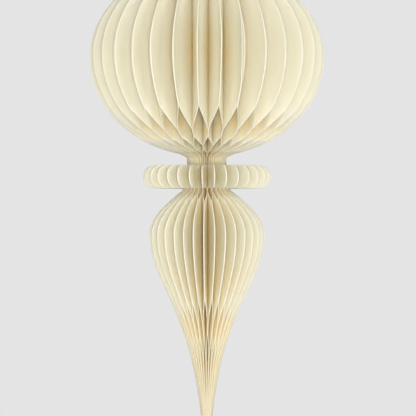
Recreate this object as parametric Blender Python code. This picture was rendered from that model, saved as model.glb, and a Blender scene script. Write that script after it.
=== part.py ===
"""A hanging honeycomb finial of thick cream paper: a bulb, a disc and a long drop on one spine.

Die-cut leaves stand round the spine like the pages of a book opened full circle. Upright strips of glue
hold each leaf in turn to its neighbour on one side and on the other, which opens upright cells between
them. Two leaves that are glued at the outer edge make one leaf pair. The origin is the middle of the flat
top of the spine, where the finial hangs, and everything is below it. The front is the -Y side.
"""

import math

import bmesh
import bpy
import numpy as np
from mathutils import Vector
from mathutils.geometry import interpolate_bezier

# Driving dimensions, in metres. Radii are from the spine's axis.
LEAF_PAIRS = 32
PAPER = 0.00025
GAP = 0.0003
FIRST_PAIR_ANGLE = math.radians(-4.0)

TOP_RISE = 0.0010
BULB_RADIUS = 0.0600
BULB_UPPER_HEIGHT = 0.0474
BULB_LOWER_HEIGHT = 0.0503
NECK_RADIUS = 0.0101
NECK_LENGTH = 0.0054
NECK_FLARE_WIDTH = 0.0056
NECK_FLARE_DEPTH = 0.0014
DISC_RADIUS = 0.0329
DISC_THICKNESS = 0.0116
DISC_ROUNDING = 0.0058
LOWER_NECK_RADIUS = 0.0123
LOWER_NECK_LENGTH = 0.0010
DROP_RADIUS = 0.0295
SHOULDER_HEIGHT = 0.0223
SHOULDER_SPREAD = 0.0064
TAPER_HEIGHT = 0.0970
# The tip runs out to where all the leaves are packed solid, side by side round the axis.
TIP_RADIUS = LEAF_PAIRS * PAPER / math.pi

# How full the drop's curves are: how far each handle reaches, as a share of its own stretch's height.
SHOULDER_START_PULL = 0.23
SHOULDER_END_PULL = 0.41
TAPER_START_PULL = 0.267
TAPER_END_PULL = 0.627
# The radius that the taper's lower handle aims at, as a share of the drop's.
TAPER_HOLLOW = 0.266

# The upright glue strips, counted outwards from the spine. The first joins neighbouring pairs, the next
# joins the two leaves of a pair, and so on in turn.
FIRST_STRIP_RADIUS = 0.0103
STRIP_PITCH = 0.0117
# Strips stand further apart outwards, where the fan is wider, by this much more each time.
STRIP_PITCH_GROWTH = 0.0026
STRIP_WIDTH = 0.0060
BOUND_MARGIN = 0.0013
# How gently a leaf bends between two strips, as a share of the distance between them.
BEND_PULL = 0.30

# How finely the curves are drawn. A turn is counted from the middle of a rim's rounding to its edge.
BULB_BEND_STEPS = 3
BEND_STEPS = 2
BULB_RIM_TURNS = (63, 72, 81)
DISC_RIM_TURNS = (30, 60)
DROP_RIM_TURNS = (75,)
CURVE_POINTS = 60
SPINE_SIDES = 24
TIP_STEPS = 6
NARROWEST_FACET = 0.0005
SMOOTH_ANGLE = math.radians(35)

# Tolerances: where two points of an outline are one, where a face counts as lying on the middle plane,
# where vertices are merged, and the decimals that tell one vertex of a leaf from another.
SAME_POINT = 0.0000001
ON_PLANE = 0.000002
MERGE_DISTANCE = 0.00001
KEY_DIGITS = 7

HALF_PITCH = math.pi / LEAF_PAIRS
# Inside this radius the leaves stand too close to be apart, and the spine takes their place.
ROOM_AT_SPINE = 0.0001
INNER_RADIUS = (PAPER + GAP / 2) / math.tan(HALF_PITCH) + ROOM_AT_SPINE
SPINE_RADIUS = INNER_RADIUS - GAP


def bezier(start, start_handle, end_handle, end, count=CURVE_POINTS):
    points = interpolate_bezier(
        Vector(start), Vector(start_handle), Vector(end_handle), Vector(end), count
    )
    return [tuple(point) for point in points]


def height_on(curve):
    """The height of a curve of (radius, height) points as a function of the radius."""
    radii, heights = np.array(sorted((point[0], point[1]) for point in curve)).T
    return lambda radius: float(np.interp(radius, radii, heights))


# Levels, from the flat top down.
BULB_WAIST = -TOP_RISE - BULB_UPPER_HEIGHT
NECK_TOP = BULB_WAIST - BULB_LOWER_HEIGHT * math.sqrt(1 - (NECK_RADIUS / BULB_RADIUS) ** 2)
DISC_TOP = NECK_TOP - NECK_LENGTH
DISC_MIDDLE = DISC_TOP - DISC_THICKNESS / 2
DROP_TOP = DISC_TOP - DISC_THICKNESS - LOWER_NECK_LENGTH
DROP_WAIST = DROP_TOP - SHOULDER_HEIGHT
TIP_LEVEL = DROP_WAIST - TAPER_HEIGHT

# The drop's outline: a round shoulder, then a taper that turns hollow and runs out into the tip.
SHOULDER = bezier(
    (LOWER_NECK_RADIUS, DROP_TOP, 0),
    (LOWER_NECK_RADIUS + SHOULDER_SPREAD, DROP_TOP - SHOULDER_START_PULL * SHOULDER_HEIGHT, 0),
    (DROP_RADIUS, DROP_WAIST + SHOULDER_END_PULL * SHOULDER_HEIGHT, 0),
    (DROP_RADIUS, DROP_WAIST, 0),
)
TAPER = bezier(
    (DROP_RADIUS, DROP_WAIST, 0),
    (DROP_RADIUS, DROP_WAIST - TAPER_START_PULL * TAPER_HEIGHT, 0),
    (TAPER_HOLLOW * DROP_RADIUS, TIP_LEVEL + TAPER_END_PULL * TAPER_HEIGHT, 0),
    (TIP_RADIUS, TIP_LEVEL, 0),
)
shoulder_height = height_on(SHOULDER)
taper_height = height_on(TAPER)


def arc(radius, full_radius):
    """The height of a quarter circle at this radius, as a share of its full radius."""
    return math.sqrt(max(0.0, 1 - (radius / full_radius) ** 2))


def bulb_top(radius):
    return BULB_WAIST + BULB_UPPER_HEIGHT * arc(radius, BULB_RADIUS)


def bulb_bottom(radius):
    flare = max(0.0, 1 - (radius - NECK_RADIUS) / NECK_FLARE_WIDTH)
    return BULB_WAIST - BULB_LOWER_HEIGHT * arc(radius, BULB_RADIUS) - NECK_FLARE_DEPTH * flare**2


def disc_half(radius):
    past_flat = max(0.0, radius - (DISC_RADIUS - DISC_ROUNDING))
    return DISC_THICKNESS / 2 * arc(past_flat, DISC_ROUNDING)


def disc_top(radius):
    return DISC_MIDDLE + disc_half(radius)


def disc_bottom(radius):
    return DISC_MIDDLE - disc_half(radius)


def glue_strips(reach):
    """(start radius, end radius, joins neighbours) of each strip that a part of this radius reaches."""
    strips = []
    middle = FIRST_STRIP_RADIUS
    pitch = STRIP_PITCH
    joins_neighbours = True
    while middle - STRIP_WIDTH / 2 < reach:
        strips.append((middle - STRIP_WIDTH / 2, middle + STRIP_WIDTH / 2, joins_neighbours))
        middle += pitch
        pitch += STRIP_PITCH_GROWTH
        joins_neighbours = not joins_neighbours
    return strips


def on_plane(radius, beside_neighbour):
    """A point of the leaf's inner face where it lies flat, and the direction outwards along it."""
    if not beside_neighbour:
        return Vector((radius, 0, 0)), Vector((1, 0, 0))
    along = Vector((math.cos(HALF_PITCH), math.sin(HALF_PITCH), 0))
    across = Vector((-along.y, along.x, 0))
    return radius * along - (GAP / 2 + PAPER) * across, along


def bend_between(start, end):
    """The S-shaped bend of a leaf between two strips, each a radius and the plane it lies on."""
    first, first_way = on_plane(*start)
    last, last_way = on_plane(*end)
    pull = BEND_PULL * (end[0] - start[0])
    return bezier(first, first + pull * first_way, last - pull * last_way, last)


def plan_of_leaf(reach):
    """The inner face of a leaf seen from above, as points from the spine out to this radius."""
    points = [tuple(on_plane(INNER_RADIUS, False)[0])]
    last = (INNER_RADIUS + BOUND_MARGIN, False)
    for start, end, joins_neighbours in glue_strips(reach):
        points += bend_between(last, (start, joins_neighbours))
        last = (end, joins_neighbours)
    outer = max(reach, last[0]) + GAP
    points += [tuple(on_plane(last[0], last[1])[0]), tuple(on_plane(outer, last[1])[0])]
    return np.array(points)[:, :2]


class Plan:
    """Where a leaf stands at a radius: its inner face, and the direction across the sheet."""

    def __init__(self, reach):
        points = plan_of_leaf(reach)
        apart = np.linalg.norm(np.diff(points, axis=0), axis=1) > SAME_POINT
        self.points = points[np.concatenate([[True], apart])]
        self.radii = np.linalg.norm(self.points, axis=1)
        ways = np.gradient(self.points, axis=0)
        ways /= np.linalg.norm(ways, axis=1)[:, None]
        self.across = np.stack([-ways[:, 1], ways[:, 0]], axis=1)

    def at(self, radius):
        place = [float(np.interp(radius, self.radii, self.points[:, i])) for i in (0, 1)]
        across = [float(np.interp(radius, self.radii, self.across[:, i])) for i in (0, 1)]
        return place, across


def fold_radii(reach, bend_steps):
    """Where a leaf is creased into facets: at both edges of each strip and in the bends between them."""
    marks = []
    last = INNER_RADIUS + BOUND_MARGIN
    for strip_start, strip_end, _ in glue_strips(reach):
        marks += list(np.linspace(last, strip_start, bend_steps + 1)) + [strip_end]
        last = strip_end
    return marks


def rim_radii(full_radius, rounding, turns):
    """Radii at these turns, in degrees, round a rim of this radius and width of rounding."""
    return [full_radius - rounding * (1 - math.sin(math.radians(turn))) for turn in turns]


def stations(start, end, marks):
    """The radii at which a panel is drawn, without marks too close to its ends or to each other."""
    chosen = [start]
    for mark in sorted(marks):
        if mark - chosen[-1] > NARROWEST_FACET and end - mark > NARROWEST_FACET:
            chosen.append(mark)
    return chosen + [end]


class Panel:
    """A stretch of the leaf between two radii, with its upper and lower outline."""

    def __init__(self, start, end, top, bottom, bend_steps=BEND_STEPS, rim=(), openings=()):
        self.top = top
        self.bottom = bottom
        self.plan = Plan(end)
        self.radii = stations(start, end, fold_radii(end, bend_steps) + list(rim))
        self.openings = openings

    def column(self, radius):
        """The levels at a radius, top first, with those of the panels that branch off there."""
        levels = [self.top(radius), self.bottom(radius)]
        if radius == self.radii[-1]:
            levels += list(self.openings)
        return sorted(set(levels), reverse=True)


def leaf_panels():
    trunk = Panel(
        INNER_RADIUS, NECK_RADIUS, bulb_top, taper_height,
        openings=(bulb_bottom(NECK_RADIUS), disc_top(NECK_RADIUS)),
    )
    bulb = Panel(
        NECK_RADIUS, BULB_RADIUS, bulb_top, bulb_bottom, BULB_BEND_STEPS,
        rim=rim_radii(BULB_RADIUS, BULB_RADIUS, BULB_RIM_TURNS),
    )
    waist = Panel(
        NECK_RADIUS, LOWER_NECK_RADIUS, disc_top, taper_height,
        openings=(disc_bottom(LOWER_NECK_RADIUS), shoulder_height(LOWER_NECK_RADIUS)),
    )
    disc = Panel(
        LOWER_NECK_RADIUS, DISC_RADIUS, disc_top, disc_bottom,
        rim=rim_radii(DISC_RADIUS, DISC_ROUNDING, DISC_RIM_TURNS),
    )
    drop = Panel(
        LOWER_NECK_RADIUS, DROP_RADIUS, shoulder_height, taper_height,
        rim=rim_radii(DROP_RADIUS, DROP_RADIUS, DROP_RIM_TURNS),
    )
    return [trunk, bulb, waist, disc, drop]


def smooth_mesh(name, bm):
    mesh = bpy.data.meshes.new(name)
    bm.to_mesh(mesh)
    bm.free()
    mesh.shade_smooth()
    mesh.set_sharp_from_angle(angle=SMOOTH_ANGLE)
    return mesh


def leaf_pair_mesh():
    """One leaf with its thickness, open where its twin is glued to it. A mirror adds the twin."""
    bm = bmesh.new()
    across_layer = bm.verts.layers.float_vector.new("across")
    corners = {}

    def corner(panel, radius, level):
        place, across = panel.plan.at(radius)
        key = tuple(round(value, KEY_DIGITS) for value in (radius, level, place[1]))
        if key not in corners:
            corners[key] = bm.verts.new((place[0], place[1], level))
            corners[key][across_layer] = (across[0], across[1], 0)
        return corners[key]

    for panel in leaf_panels():
        for inner, outer in zip(panel.radii, panel.radii[1:]):
            loop = [corner(panel, inner, level) for level in panel.column(inner)]
            loop += [corner(panel, outer, level) for level in reversed(panel.column(outer))]
            bm.faces.new(dict.fromkeys(loop))

    side = bm.faces[:]
    grown = bmesh.ops.extrude_face_region(bm, geom=side)
    for item in grown["geom"]:
        if isinstance(item, bmesh.types.BMVert):
            item.co += PAPER * item[across_layer]
    bmesh.ops.recalc_face_normals(bm, faces=bm.faces)
    glued = [face for face in bm.faces if all(abs(vert.co.y) < ON_PLANE for vert in face.verts)]
    bmesh.ops.delete(bm, geom=glued, context="FACES")
    return smooth_mesh("leaf_pair", bm)


def spine_mesh():
    """The bound middle of the sheets: a round rod with a flat top, drawn out into the tip."""
    at_spine = taper_height(SPINE_RADIUS)
    tip_radii = np.linspace(SPINE_RADIUS, TIP_RADIUS, TIP_STEPS + 1)[1:]
    profile = [(0, 0), (SPINE_RADIUS, 0), (SPINE_RADIUS, at_spine)]
    profile += [(radius, taper_height(radius)) for radius in tip_radii]
    profile.append((0, TIP_LEVEL))
    bm = bmesh.new()
    verts = [bm.verts.new((radius, 0, level)) for radius, level in profile]
    edges = [bm.edges.new(ends) for ends in zip(verts, verts[1:])]
    bmesh.ops.spin(
        bm, geom=verts + edges, cent=(0, 0, 0), axis=(0, 0, 1), angle=2 * math.pi,
        steps=SPINE_SIDES, use_merge=True,
    )
    bmesh.ops.remove_doubles(bm, verts=bm.verts, dist=MERGE_DISTANCE)
    bmesh.ops.recalc_face_normals(bm, faces=bm.faces)
    return smooth_mesh("spine", bm)


def paper_material(name, colour, roughness):
    material = bpy.data.materials.new(name)
    material.use_nodes = True
    shader = material.node_tree.nodes["Principled BSDF"]
    shader.inputs["Base Color"].default_value = (*colour, 1)
    shader.inputs["Roughness"].default_value = roughness
    shader.inputs["Metallic"].default_value = 0
    return material


def add_object(name, mesh, material):
    if not mesh.materials:
        mesh.materials.append(material)
    part = bpy.data.objects.new(name, mesh)
    bpy.context.scene.collection.objects.link(part)
    return part


for old in list(bpy.data.objects):
    bpy.data.objects.remove(old, do_unlink=True)

cream = paper_material("cream_paper", colour=(0.88, 0.83, 0.68), roughness=0.85)
packed = paper_material("packed_paper", colour=(0.80, 0.70, 0.50), roughness=0.9)

pair_mesh = leaf_pair_mesh()
for index in range(LEAF_PAIRS):
    pair = add_object(f"leaf_pair_{index + 1:02d}", pair_mesh, cream)
    # The leaves are drawn along +X, and the front of the finial is its -Y side.
    pair.rotation_euler.z = FIRST_PAIR_ANGLE + 2 * HALF_PITCH * index - math.pi / 2
    twin = pair.modifiers.new("twin leaf", "MIRROR")
    twin.use_axis = (False, True, False)
    twin.use_mirror_merge = True
    twin.merge_threshold = MERGE_DISTANCE

add_object("spine", spine_mesh(), packed)
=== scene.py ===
"""The looks of a hanging honeycomb finial: cream paper leaves, cut to one outline and glued in strips."""

import math
import random

import bmesh
import bpy
import numpy as np
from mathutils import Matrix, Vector
from mathutils.geometry import interpolate_bezier


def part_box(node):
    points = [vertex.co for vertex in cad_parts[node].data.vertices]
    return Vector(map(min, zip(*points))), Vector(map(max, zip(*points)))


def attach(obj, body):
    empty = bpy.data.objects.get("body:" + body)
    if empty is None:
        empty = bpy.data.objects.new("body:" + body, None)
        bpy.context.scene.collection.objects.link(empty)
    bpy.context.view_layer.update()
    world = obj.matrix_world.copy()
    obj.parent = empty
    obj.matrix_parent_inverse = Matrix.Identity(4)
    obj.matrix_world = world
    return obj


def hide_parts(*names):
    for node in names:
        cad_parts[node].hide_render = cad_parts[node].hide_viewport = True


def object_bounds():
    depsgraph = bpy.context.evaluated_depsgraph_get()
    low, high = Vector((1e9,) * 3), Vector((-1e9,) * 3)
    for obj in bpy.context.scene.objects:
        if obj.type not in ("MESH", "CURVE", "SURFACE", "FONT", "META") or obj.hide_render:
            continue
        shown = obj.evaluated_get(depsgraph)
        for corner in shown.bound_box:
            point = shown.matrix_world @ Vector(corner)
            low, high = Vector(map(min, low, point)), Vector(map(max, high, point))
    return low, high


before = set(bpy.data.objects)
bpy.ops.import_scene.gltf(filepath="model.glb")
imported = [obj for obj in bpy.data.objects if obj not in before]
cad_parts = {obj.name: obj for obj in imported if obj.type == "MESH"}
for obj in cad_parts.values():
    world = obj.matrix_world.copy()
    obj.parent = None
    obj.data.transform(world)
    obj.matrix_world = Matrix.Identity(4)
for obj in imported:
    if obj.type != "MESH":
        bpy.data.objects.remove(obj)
cad_low, cad_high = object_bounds()


# The leaf. Each one is die-cut from thick, uncoated cream paper to half the finial's outline: a bulb, a disc
# and a drop that runs out hollow, on a straight bound edge. It is drawn flat, with the radius along X and the
# height along Z, and cut into columns and rows that are fine enough to bend.
PAPER = 0.00025
BOUND_EDGE_RADIUS = 0.0014
TOP_RISE = 0.0010
BULB_RADIUS = cad_high.x
BULB_UPPER_HEIGHT = 0.0474
BULB_LOWER_HEIGHT = 0.0503
NECK_RADIUS = 0.0101
NECK_LENGTH = 0.0054
NECK_FLARE_WIDTH = 0.0056
NECK_FLARE_DEPTH = 0.0014
DISC_RADIUS = 0.0329
DISC_THICKNESS = 0.0116
DISC_ROUNDING = 0.0058
LOWER_NECK_RADIUS = 0.0123
LOWER_NECK_LENGTH = 0.0010
DROP_RADIUS = 0.0295
SHOULDER_HEIGHT = 0.0223
SHOULDER_SPREAD = 0.0064
SHOULDER_START_PULL = 0.23
SHOULDER_END_PULL = 0.41
TAPER_START_PULL = 0.267
TAPER_END_PULL = 0.627
TAPER_HOLLOW = 0.266
TIP_RADIUS = 0.00254
TIP_LEVEL = cad_low.z

BULB_WAIST = -TOP_RISE - BULB_UPPER_HEIGHT
NECK_TOP = BULB_WAIST - BULB_LOWER_HEIGHT * math.sqrt(1 - (NECK_RADIUS / BULB_RADIUS) ** 2)
DISC_TOP = NECK_TOP - NECK_LENGTH
DISC_BOTTOM = DISC_TOP - DISC_THICKNESS
DROP_TOP = DISC_BOTTOM - LOWER_NECK_LENGTH
DROP_WAIST = DROP_TOP - SHOULDER_HEIGHT
TAPER_HEIGHT = DROP_WAIST - TIP_LEVEL

CURVE_POINTS = 64
ROUNDING_POINTS = 13


def curve(start, start_handle, end_handle, end):
    """Points of a Bezier curve, each a radius and a height."""
    corners = [Vector((*point, 0)) for point in (start, start_handle, end_handle, end)]
    return [(point.x, point.y) for point in interpolate_bezier(*corners, CURVE_POINTS)]


def bulb_half(height, first_turn, last_turn):
    """Half of the bulb's outline. A turn is from straight up or straight down to the widest place."""
    points = []
    for turn in np.linspace(first_turn, last_turn, CURVE_POINTS):
        radius = BULB_RADIUS * math.sin(turn)
        level = BULB_WAIST + height * math.cos(turn)
        if height < 0:
            level -= NECK_FLARE_DEPTH * max(0, 1 - (radius - NECK_RADIUS) / NECK_FLARE_WIDTH) ** 2
        points.append((radius, level))
    return points


widest = math.pi / 2
outline = bulb_half(BULB_UPPER_HEIGHT, math.asin(BOUND_EDGE_RADIUS / BULB_RADIUS), widest)
outline += bulb_half(-BULB_LOWER_HEIGHT, widest, math.asin(NECK_RADIUS / BULB_RADIUS))[1:]
outline.append((NECK_RADIUS, DISC_TOP))
for turn in np.linspace(0, math.pi, ROUNDING_POINTS):
    outline.append((
        DISC_RADIUS - DISC_ROUNDING + DISC_ROUNDING * math.sin(turn),
        DISC_TOP - DISC_THICKNESS / 2 + DISC_THICKNESS / 2 * math.cos(turn),
    ))
outline.append((LOWER_NECK_RADIUS, DISC_BOTTOM))
outline += curve(
    (LOWER_NECK_RADIUS, DROP_TOP),
    (LOWER_NECK_RADIUS + SHOULDER_SPREAD, DROP_TOP - SHOULDER_START_PULL * SHOULDER_HEIGHT),
    (DROP_RADIUS, DROP_WAIST + SHOULDER_END_PULL * SHOULDER_HEIGHT),
    (DROP_RADIUS, DROP_WAIST),
)
taper = curve(
    (DROP_RADIUS, DROP_WAIST),
    (DROP_RADIUS, DROP_WAIST - TAPER_START_PULL * TAPER_HEIGHT),
    (TAPER_HOLLOW * DROP_RADIUS, TIP_LEVEL + TAPER_END_PULL * TAPER_HEIGHT),
    (TIP_RADIUS, TIP_LEVEL),
)
outline += taper[1:]
outline.append((BOUND_EDGE_RADIUS, TIP_LEVEL))
taper_radii, taper_levels = np.array(taper).T

# The strips of glue run upright. The first out from the spine joins neighbouring pairs of leaves, the next
# the two leaves of a pair, and so on in turn, so between two strips a leaf swings from one plane to the next.
# They stand further apart outwards, where the fan is wider.
FIRST_STRIP_RADIUS = 0.0103
STRIP_PITCH = 0.0117
STRIP_PITCH_GROWTH = 0.0026
STRIP_WIDTH = 0.0060
STRIP_COUNT = 4
BOUND_MARGIN_END = 0.0075
# The glue of the first strip starts only here, outside the neck, so on the neck the leaves are still apart.
FIRST_STRIP_START = 0.0118
# How much a bend is eased into the strips at its ends, from 0 for a crease to 1 for a full S.
BEND_EASE = 0.10

swing_radii = [BOUND_MARGIN_END]
swing_shares = [0]
middle = FIRST_STRIP_RADIUS
for number in range(STRIP_COUNT):
    swing_radii += [max(middle - STRIP_WIDTH / 2, FIRST_STRIP_START), middle + STRIP_WIDTH / 2]
    swing_shares += [1 - number % 2] * 2
    middle += STRIP_PITCH + number * STRIP_PITCH_GROWTH
STRIPS_OF_DROP = 2
swings_of_drop = 1 + 2 * STRIPS_OF_DROP

BEND_COLUMNS = 6
ROW_HEIGHT = 0.005
EDGE_BAND = 0.0004
# Points of the flat leaf this near to a cut are on it, and points this near to each other are one.
ON_CUT = 0.000001
SAME_PLACE = 0.00001

column_radii = []
for start, end, from_share, to_share in zip(
    swing_radii, swing_radii[1:], swing_shares, swing_shares[1:]
):
    steps = BEND_COLUMNS if from_share != to_share else 1
    column_radii += list(np.linspace(start, end, steps, endpoint=False))
column_radii.append(swing_radii[-1])
row_levels = np.arange(-ROW_HEIGHT, TIP_LEVEL, -ROW_HEIGHT)

flat = bmesh.new()
leaf_face = flat.faces.new([flat.verts.new((radius, 0, level)) for radius, level in outline])
bmesh.ops.inset_region(flat, faces=[leaf_face], thickness=EDGE_BAND, use_boundary=True, use_even_offset=True)
cuts = [((radius, 0, 0), (1, 0, 0)) for radius in column_radii]
cuts += [((0, 0, level), (0, 0, 1)) for level in row_levels]
for place, across in cuts:
    everything = flat.verts[:] + flat.edges[:] + flat.faces[:]
    bmesh.ops.bisect_plane(flat, geom=everything, plane_co=place, plane_no=across, dist=ON_CUT)
bmesh.ops.remove_doubles(flat, verts=flat.verts[:], dist=SAME_PLACE)
flat_leaf = bpy.data.meshes.new("flat_leaf")
flat.to_mesh(flat_leaf)
flat.free()

corners = np.array([vertex.co for vertex in flat_leaf.vertices])
leaf_radii, leaf_levels = corners[:, 0], corners[:, 2]
cut = np.array(outline)
cut_starts, cut_ways = cut[:-1], np.diff(cut, axis=0)
points = corners[:, None, ::2]
along = ((points - cut_starts) * cut_ways).sum(axis=2) / (cut_ways**2).sum(axis=1)
nearest = cut_starts + np.clip(along, 0, 1)[:, :, None] * cut_ways
leaf_depths = np.linalg.norm(points - nearest, axis=2).min(axis=1)


# The way the leaves stand. Pairs are spread evenly round the spine, but paper is never quite even: each pair
# stands a little off its place, those right of the front lean together on the bulb, and those left of the
# front are turned towards it on the drop.
LEAF_PAIRS = 32
PITCH = 2 * math.pi / LEAF_PAIRS
FIRST_PAIR_ANGLE = math.radians(-4.0)
FRONT = -math.pi / 2
UNEVENNESS = math.radians(0.35)
BULB_LEAN = math.radians(-1.3)
BULB_LEAN_PLACE = math.radians(24)
BULB_LEAN_WIDTH = math.radians(20)
DROP_LEAN = math.radians(4.0)
DROP_LEAN_PLACE = math.radians(-36)
DROP_LEAN_WIDTH = math.radians(30)
EDGE_CURL = math.radians(0.25)
CURL_LENGTH = 0.055
GLUE = 0.00001
OPEN_PAIR = 2
OPEN_PAIR_SPREAD = 0.0006
PAIR_SPREAD = 0.00008

uneven = random.Random(7)
pair_offsets = [uneven.gauss(0, UNEVENNESS) for _ in range(LEAF_PAIRS)]
glue_offsets = [uneven.gauss(0, UNEVENNESS) for _ in range(LEAF_PAIRS)]
curls = [(uneven.uniform(-1, 1), uneven.uniform(0, 2 * math.pi)) for _ in range(LEAF_PAIRS)]
spreads = [PAIR_SPREAD * uneven.random() for _ in range(LEAF_PAIRS)]
spreads[OPEN_PAIR] = OPEN_PAIR_SPREAD


def smooth_share(values, start, end):
    share = np.clip((values - start) / (end - start), 0, 1)
    return share * share * (3 - 2 * share)


on_drop = smooth_share(leaf_levels, NECK_TOP, DROP_WAIST)
below_neck = leaf_levels < (NECK_TOP + DISC_TOP) / 2
to_rim = smooth_share(leaf_radii, swing_radii[-1], BULB_RADIUS) * ~below_neck
swing = np.where(
    below_neck,
    np.interp(leaf_radii, swing_radii[:swings_of_drop], swing_shares[:swings_of_drop]),
    np.interp(leaf_radii, swing_radii, swing_shares),
)
swing += BEND_EASE * (swing * swing * (3 - 2 * swing) - swing)


def lean(angle, amount, place, width):
    """How far a pair at this angle from the front leans aside: most at one place, less away from it."""
    apart = math.remainder(angle - place, 2 * math.pi)
    return amount * math.exp(-((apart / width) ** 2))


def pair_angles(index):
    """The angle of a pair's own plane at each point of the leaf. It grows on past a full turn."""
    even = FIRST_PAIR_ANGLE + index * PITCH
    on_bulb = lean(even, BULB_LEAN, BULB_LEAN_PLACE, BULB_LEAN_WIDTH)
    at_drop = lean(even, DROP_LEAN, DROP_LEAN_PLACE, DROP_LEAN_WIDTH)
    amount, phase = curls[index % LEAF_PAIRS]
    curl = EDGE_CURL * amount * np.sin(2 * math.pi * leaf_levels / CURL_LENGTH + phase) * to_rim
    own = pair_offsets[index % LEAF_PAIRS]
    return FRONT + even + own + on_bulb * (1 - on_drop) + at_drop * on_drop + curl


def glue_angles(index):
    """The angle of the plane in which this pair is glued to the next one."""
    return (pair_angles(index) + pair_angles(index + 1)) / 2 + glue_offsets[index % LEAF_PAIRS]


def beside(angles, offset):
    """Points of a leaf that lies this far to the side of a plane at these angles."""
    x = leaf_radii * np.cos(angles) - offset * np.sin(angles)
    y = leaf_radii * np.sin(angles) + offset * np.cos(angles)
    return np.stack([x, y, leaf_levels], axis=1)


def inner_side(index, side):
    """Where the side of a leaf that faces its twin lies. side is 1 or -1, by which leaf of the pair it is."""
    with_twin = beside(pair_angles(index), side * (GLUE + spreads[index] * to_rim))
    neighbour = glue_angles(index if side > 0 else index - 1)
    with_neighbour = beside(neighbour, -side * (GLUE + PAPER))
    return with_twin + (with_neighbour - with_twin) * swing[:, None]


# The paper. Uncoated cream stock with a soft tooth, a little cloudy where fibres lie thicker, with a painted
# highlight along the cut edge, and painted warm shade towards the spine and deep in the folds and cells.
CREAM = (0.965, 0.948, 0.855, 1)
# Painted highlight along the cut edges.
EDGE_HIGHLIGHT_CREAM = (0.990, 0.985, 0.960, 1)
# Painted warm shade near the spine, in the folds and in the cells; also the warm side of the paper's own
# clouds and fibres.
WARM_CREAM = (0.992, 0.905, 0.680, 1)
CLOUD_SCALE = 90
FIBRE_SCALE = 1500
TOOTH_SCALE = 3800
# Depth below the cut edge over which the painted highlight fades out.
HIGHLIGHT_DEPTH = 0.0010
# How warm the clouds and the fibres turn it, how rough and how glossy it is, and how deep its tooth.
CLOUD_WARMTH = 0.12
FIBRE_WARMTH = 0.10
ROUGH = 0.82
GLOSS = 0.2
TOOTH_SHARE = 0.3
TOOTH_DEPTH = 0.00005
# The radius from the spine within which the paper is painted warm as shade, and those beyond which it is left
# pale, on the bulb and below it. Then the depths below the cut edge over which the folds turn to painted warm
# shade, and those over which the lit paper near the cut is painted pale.
WARM_RADIUS = 0.009
PALE_RADIUS_OF_BULB = 0.036
PALE_RADIUS_BELOW = 0.028
FOLD_DEPTHS = (0.011, 0.019)
FOLD_WARMTH = 0.8
EDGE_DEPTHS = (0.0005, 0.0045)
# Within these radii, at the necks and the tip, the paper is painted warm right out to the cut and loses the
# painted highlight there: painted warm shade at the necks, which lie between bulb and disc, and a warmer tone
# at the tip.
INNER_RADII = (0.010, 0.021)
INNER_WARMTH = 0.3
# The two sides of a pair that face each other across a cell are painted warm: painted shade inside the cells.
CELL_SHADE_WARMTH = 0.85
# The share of light that goes on through each face of a sheet, so that a lit leaf glows on its shaded side.
SHINE_THROUGH = 0.65

# Painted warm shade: warm near the spine and deep in the folds, pale within a few millimetres of the lit cut
# edge.
pale_radius = np.where(below_neck, PALE_RADIUS_BELOW, PALE_RADIUS_OF_BULB)
near_spine = 1 - smooth_share(leaf_radii, WARM_RADIUS, pale_radius)
in_fold = FOLD_WARMTH * smooth_share(leaf_depths, *FOLD_DEPTHS)
leaf_warmth = np.maximum(near_spine, in_fold) * smooth_share(leaf_depths, *EDGE_DEPTHS)
# Painted warm shade at the necks and a warmer tone at the tip, out to the cut; the painted highlight is taken
# off there.
inner_share = 1 - smooth_share(leaf_radii, *INNER_RADII)
leaf_warmth = np.maximum(leaf_warmth, INNER_WARMTH * inner_share)
cut_depths = leaf_depths + HIGHLIGHT_DEPTH * inner_share
cell_shade_warmth = CELL_SHADE_WARMTH * swing * smooth_share(leaf_depths, 0, EDGE_BAND)


class Value:
    """A number that varies over a surface. Arithmetic on it adds Math nodes to its material."""

    def __init__(self, paint, socket):
        self.paint = paint
        self.socket = socket

    def __add__(self, other):
        return self.paint.node("ShaderNodeMath", {"operation": "ADD"}, {0: self, 1: other})

    def __sub__(self, other):
        return self.paint.node("ShaderNodeMath", {"operation": "SUBTRACT"}, {0: self, 1: other})

    def __rsub__(self, other):
        return self.paint.node("ShaderNodeMath", {"operation": "SUBTRACT"}, {0: other, 1: self})

    def __mul__(self, other):
        return self.paint.node("ShaderNodeMath", {"operation": "MULTIPLY"}, {0: self, 1: other})

    def __truediv__(self, other):
        return self.paint.node("ShaderNodeMath", {"operation": "DIVIDE"}, {0: self, 1: other})

    __radd__ = __add__
    __rmul__ = __mul__


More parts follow.
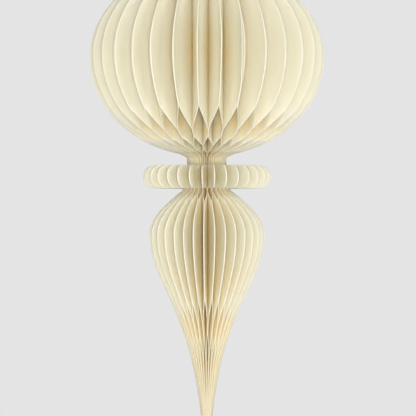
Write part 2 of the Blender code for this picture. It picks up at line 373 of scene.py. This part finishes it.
class Paint:
    """A material with one Principled shader."""

    BUMP_STRENGTH = 0.35

    def __init__(self, name):
        self.material = bpy.data.materials.new(name)
        self.material.use_nodes = True
        self.tree = self.material.node_tree
        self.shader = self.tree.nodes["Principled BSDF"]
        self.result = self.tree.nodes["Material Output"]

    def node(self, kind, settings, sockets, output=0):
        made = self.tree.nodes.new(kind)
        for key, value in settings.items():
            setattr(made, key, value)
        self.fill(made, sockets)
        return Value(self, made.outputs[output])

    def fill(self, node, sockets):
        for key, value in sockets.items():
            if isinstance(value, Value):
                self.tree.links.new(value.socket, node.inputs[key])
            else:
                node.inputs[key].default_value = value

    def mix(self, share, first, second):
        settings = {"data_type": "RGBA", "clamp_factor": True}
        return self.node("ShaderNodeMix", settings, {0: share, 6: first, 7: second}, output=2)

    def noise(self, scale, detail):
        place = self.node("ShaderNodeTexCoord", {}, {}, output="Object")
        sockets = {"Vector": place, "Scale": scale, "Detail": detail}
        return self.node("ShaderNodeTexNoise", {}, sockets, output="Fac")

    def finish(self, colour, height, depth):
        sockets = {"Strength": self.BUMP_STRENGTH, "Distance": depth, "Height": height}
        bump = self.node("ShaderNodeBump", {}, sockets)
        self.fill(self.shader, {"Base Color": colour, "Normal": bump})

    def mix_shaders(self, share, first, second):
        return self.node("ShaderNodeMixShader", {}, {0: share, 1: first, 2: second})

    def shine_through(self, share, warm_share, pale, warm):
        """Lets this share of the light go on through the surface."""
        front = Value(self, self.shader.outputs[0])
        pale_glow = self.node("ShaderNodeBsdfTranslucent", {}, {"Color": pale})
        warm_glow = self.node("ShaderNodeBsdfTranslucent", {}, {"Color": warm})
        glow = self.mix_shaders(warm_share, pale_glow, warm_glow)
        self.fill(self.result, {"Surface": self.mix_shaders(share, front, glow)})


paper = Paint("cream_paper")
paper.fill(paper.shader, {"Roughness": ROUGH, "Specular IOR Level": GLOSS})
depth = paper.node("ShaderNodeAttribute", {"attribute_name": "depth"}, {}, output="Fac")
warmth = paper.node("ShaderNodeAttribute", {"attribute_name": "warmth"}, {}, output="Fac")
cloud = paper.noise(CLOUD_SCALE, 3.0)
fibre = paper.noise(FIBRE_SCALE, 2.0)
tooth = paper.noise(TOOTH_SCALE, 1.0)
# The warmth attribute carries painted warm shade; the clouds and fibres add the paper's own uneven tone.
uneven_warmth = warmth + (cloud - 0.5) * CLOUD_WARMTH + (fibre - 0.5) * FIBRE_WARMTH
colour = paper.mix(uneven_warmth, CREAM, WARM_CREAM)
# Painted highlight, paler towards the cut edges.
colour = paper.mix(1 - depth / HIGHLIGHT_DEPTH, colour, EDGE_HIGHLIGHT_CREAM)
paper.finish(colour, fibre * (1 - TOOTH_SHARE) + tooth * TOOTH_SHARE, depth=TOOTH_DEPTH)
# The light that goes on through is warmer where warm shade is painted.
paper.shine_through(SHINE_THROUGH, warmth, CREAM, WARM_CREAM)


# The 64 leaves, each a sheet of its own with a cut edge all round. Two share a pair's place, glued flat to
# each other at the outer edge, and between strips they part into the upright cells.
SHARP_ANGLE = math.radians(40)

for index in range(LEAF_PAIRS):
    for side, which in ((-1, "left"), (1, "right")):
        sheet = bmesh.new()
        sheet.from_mesh(flat_leaf)
        depths = sheet.verts.layers.float.new("depth")
        warmths = sheet.verts.layers.float.new("warmth")
        places = inner_side(index, side)
        for vertex, place, how_deep, how_warm in zip(sheet.verts, places, cut_depths, leaf_warmth):
            vertex.co = place
            vertex[depths] = how_deep
            vertex[warmths] = how_warm
        # The thickness goes along the normals, so those of the bent sheet are worked out first. Afterwards the
        # first points are still the side that faces the twin.
        sheet.normal_update()
        bmesh.ops.solidify(sheet, geom=sheet.faces[:], thickness=-side * PAPER)
        sheet.verts.ensure_lookup_table()
        # The sides that face into the cells get the painted shade.
        for vertex, in_cell in zip(sheet.verts[: len(places)], cell_shade_warmth):
            vertex[warmths] = max(vertex[warmths], in_cell)
        bmesh.ops.recalc_face_normals(sheet, faces=sheet.faces[:])
        mesh = bpy.data.meshes.new(f"leaf_{index + 1:02d}_{which}")
        sheet.to_mesh(mesh)
        sheet.free()
        mesh.shade_smooth()
        mesh.set_sharp_from_angle(angle=SHARP_ANGLE)
        mesh.materials.append(paper.material)
        leaf = bpy.data.objects.new(mesh.name, mesh)
        bpy.context.scene.collection.objects.link(leaf)
        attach(leaf, "root")
        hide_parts(f"leaf_pair_{index + 1:02d}")


# The spine. The bound margins of all 64 leaves, pressed into one rod with a groove between each two sheets.
# Its top is trimmed flat, and it runs out into the tip, where only these margins are left.
GROOVES = 2 * LEAF_PAIRS
GROOVE_DEPTH = 0.00025
SPINE_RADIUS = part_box("spine")[1].x
# The rod shows only deep between the leaves, so its warm orange tone is painted warm shade of those slits.
SLIT_SHADE_CREAM = (0.960, 0.830, 0.570, 1)
# Below this level, at the tip, where the rod shows between the leaf ends, it turns a darker tan over this run:
# painted shade in the grooves between them.
TIP_SHADE_START = -0.207
TIP_SHADE_RUN = 0.008
TIP_SHADE_TAN = (0.690, 0.575, 0.385, 1)
STREAK_SHARE = 0.6
BLOTCH_SHARE = 0.3
STREAK_DEPTH = 0.00008
PACKED_ROUGH = 0.88
TIP_RINGS = 24
# How far the leaves stand out over the rod where the tip begins, and at its end.
SPINE_COVER = 0.0004
TIP_COVER = 0.0002

packed = Paint("packed_paper")
packed.fill(packed.shader, {"Roughness": PACKED_ROUGH, "Specular IOR Level": GLOSS})
streak = packed.noise(FIBRE_SCALE, 2.0)
blotch = packed.noise(CLOUD_SCALE, 2.0)
point = packed.node("ShaderNodeTexCoord", {}, {}, output="Object")
point_level = packed.node("ShaderNodeSeparateXYZ", {}, {"Vector": point}, output="Z")
# Painted warm shade of the slits, with the rod's own streaks and blotches towards cream.
packed_colour = packed.mix(streak * STREAK_SHARE + blotch * BLOTCH_SHARE, SLIT_SHADE_CREAM, CREAM)
# Painted shade at the tip, between the leaf ends.
packed_colour = packed.mix((TIP_SHADE_START - point_level) / TIP_SHADE_RUN, packed_colour, TIP_SHADE_TAN)
packed.finish(packed_colour, streak, depth=STREAK_DEPTH)

rod_covered = SPINE_RADIUS + SPINE_COVER
cover_radii = np.linspace(rod_covered, TIP_RADIUS, TIP_RINGS)
rod_levels = np.interp(cover_radii, taper_radii[::-1], taper_levels[::-1])
rod_radii = np.interp(cover_radii, [TIP_RADIUS, rod_covered], [TIP_RADIUS - TIP_COVER, SPINE_RADIUS])

rod = bmesh.new()
ring = bmesh.ops.create_circle(rod, cap_ends=False, segments=2 * GROOVES, radius=1)["verts"]
for number, vertex in enumerate(ring):
    vertex.co *= SPINE_RADIUS - GROOVE_DEPTH * (number % 2)
edges = rod.edges[:]
bmesh.ops.holes_fill(rod, edges=edges)
last_radius = SPINE_RADIUS
for radius, level in zip(rod_radii, rod_levels):
    grown = bmesh.ops.extrude_edge_only(rod, edges=edges)["geom"]
    edges = [item for item in grown if isinstance(item, bmesh.types.BMEdge)]
    for vertex in [item for item in grown if isinstance(item, bmesh.types.BMVert)]:
        vertex.co *= radius / last_radius
        vertex.co.z = level
    last_radius = radius
bmesh.ops.holes_fill(rod, edges=edges)
bmesh.ops.recalc_face_normals(rod, faces=rod.faces[:])
spine_mesh = bpy.data.meshes.new("spine_packed")
rod.to_mesh(spine_mesh)
rod.free()
spine_mesh.materials.append(packed.material)
spine = bpy.data.objects.new("spine_packed", spine_mesh)
bpy.context.scene.collection.objects.link(spine)
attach(spine, "root")
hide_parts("spine")


# The studio: a pale floor well below the tip, a pale room, and three soft lamps. The strongest is a small one
# just below the camera that reaches in between the leaves, and two wide, weaker ones stand on its right and
# left. The room shows plain grey to the camera.
ROOM_GREY = (0.776, 0.776, 0.776, 1)
ROOM_LIGHT = 0.5
FLOOR_LEVEL = -0.62
FLOOR_SIDE = 5.0
FLOOR_ROUGH = 0.9
RIGHT_PLACE = (0.74, -1.05, 0.05)
RIGHT_SIDE = 0.6
RIGHT_POWER = 4.6
LEFT_PLACE = (-0.55, -1.1, -0.10)
LEFT_SIDE = 0.6
LEFT_POWER = 2.4
FRONT_PLACE = (0.02, -1.25, -0.18)
FRONT_SIDE = 0.3
FRONT_POWER = 10.8

scene = bpy.context.scene
scene.view_settings.view_transform = "Standard"
world = bpy.data.worlds.new("room")
scene.world = world
world.use_nodes = True
room = world.node_tree
background = room.nodes["Background"]
seen = room.nodes.new("ShaderNodeLightPath")
background.inputs["Color"].default_value = ROOM_GREY
strength = room.nodes.new("ShaderNodeMapRange")
strength.inputs["To Min"].default_value = ROOM_LIGHT
strength.inputs["To Max"].default_value = 1.0
room.links.new(seen.outputs["Is Camera Ray"], strength.inputs["Value"])
room.links.new(strength.outputs["Result"], background.inputs["Strength"])

floor_mesh = bmesh.new()
bmesh.ops.create_grid(floor_mesh, x_segments=1, y_segments=1, size=FLOOR_SIDE / 2)
bmesh.ops.translate(floor_mesh, verts=floor_mesh.verts, vec=(0, 0, FLOOR_LEVEL))
floor_data = bpy.data.meshes.new("floor")
floor_mesh.to_mesh(floor_data)
floor_mesh.free()
floor_paint = Paint("pale_floor")
floor_paint.fill(floor_paint.shader, {"Base Color": ROOM_GREY, "Roughness": FLOOR_ROUGH})
floor_data.materials.append(floor_paint.material)
floor = bpy.data.objects.new("floor", floor_data)
scene.collection.objects.link(floor)

finial_middle = Vector((0, 0, (cad_low.z + cad_high.z) / 2))


def add_lamp(name, place, side, power):
    light = bpy.data.lights.new(name, "AREA")
    light.size = side
    light.energy = power
    lamp = bpy.data.objects.new(name, light)
    lamp.location = place
    lamp.rotation_euler = (finial_middle - Vector(place)).to_track_quat("-Z", "Y").to_euler()
    scene.collection.objects.link(lamp)


add_lamp("right", RIGHT_PLACE, RIGHT_SIDE, RIGHT_POWER)
add_lamp("left", LEFT_PLACE, LEFT_SIDE, LEFT_POWER)
add_lamp("front", FRONT_PLACE, FRONT_SIDE, FRONT_POWER)

# The camera stands level with the neck and looks straight ahead, so the bulb is cut by the top of the
# picture and the tip by the bottom.
SENSOR = 36
FOCAL_SHARE = 1700 / 416
CAMERA_PLACE = (0.00066, -0.8696, -0.1250)

lens = bpy.data.cameras.new("camera")
lens.sensor_width = SENSOR
lens.lens = SENSOR * FOCAL_SHARE
lens.clip_start = 0.01
camera = bpy.data.objects.new("camera", lens)
camera.location = CAMERA_PLACE
camera.rotation_euler = (math.pi / 2, 0, 0)
scene.collection.objects.link(camera)
scene.camera = camera
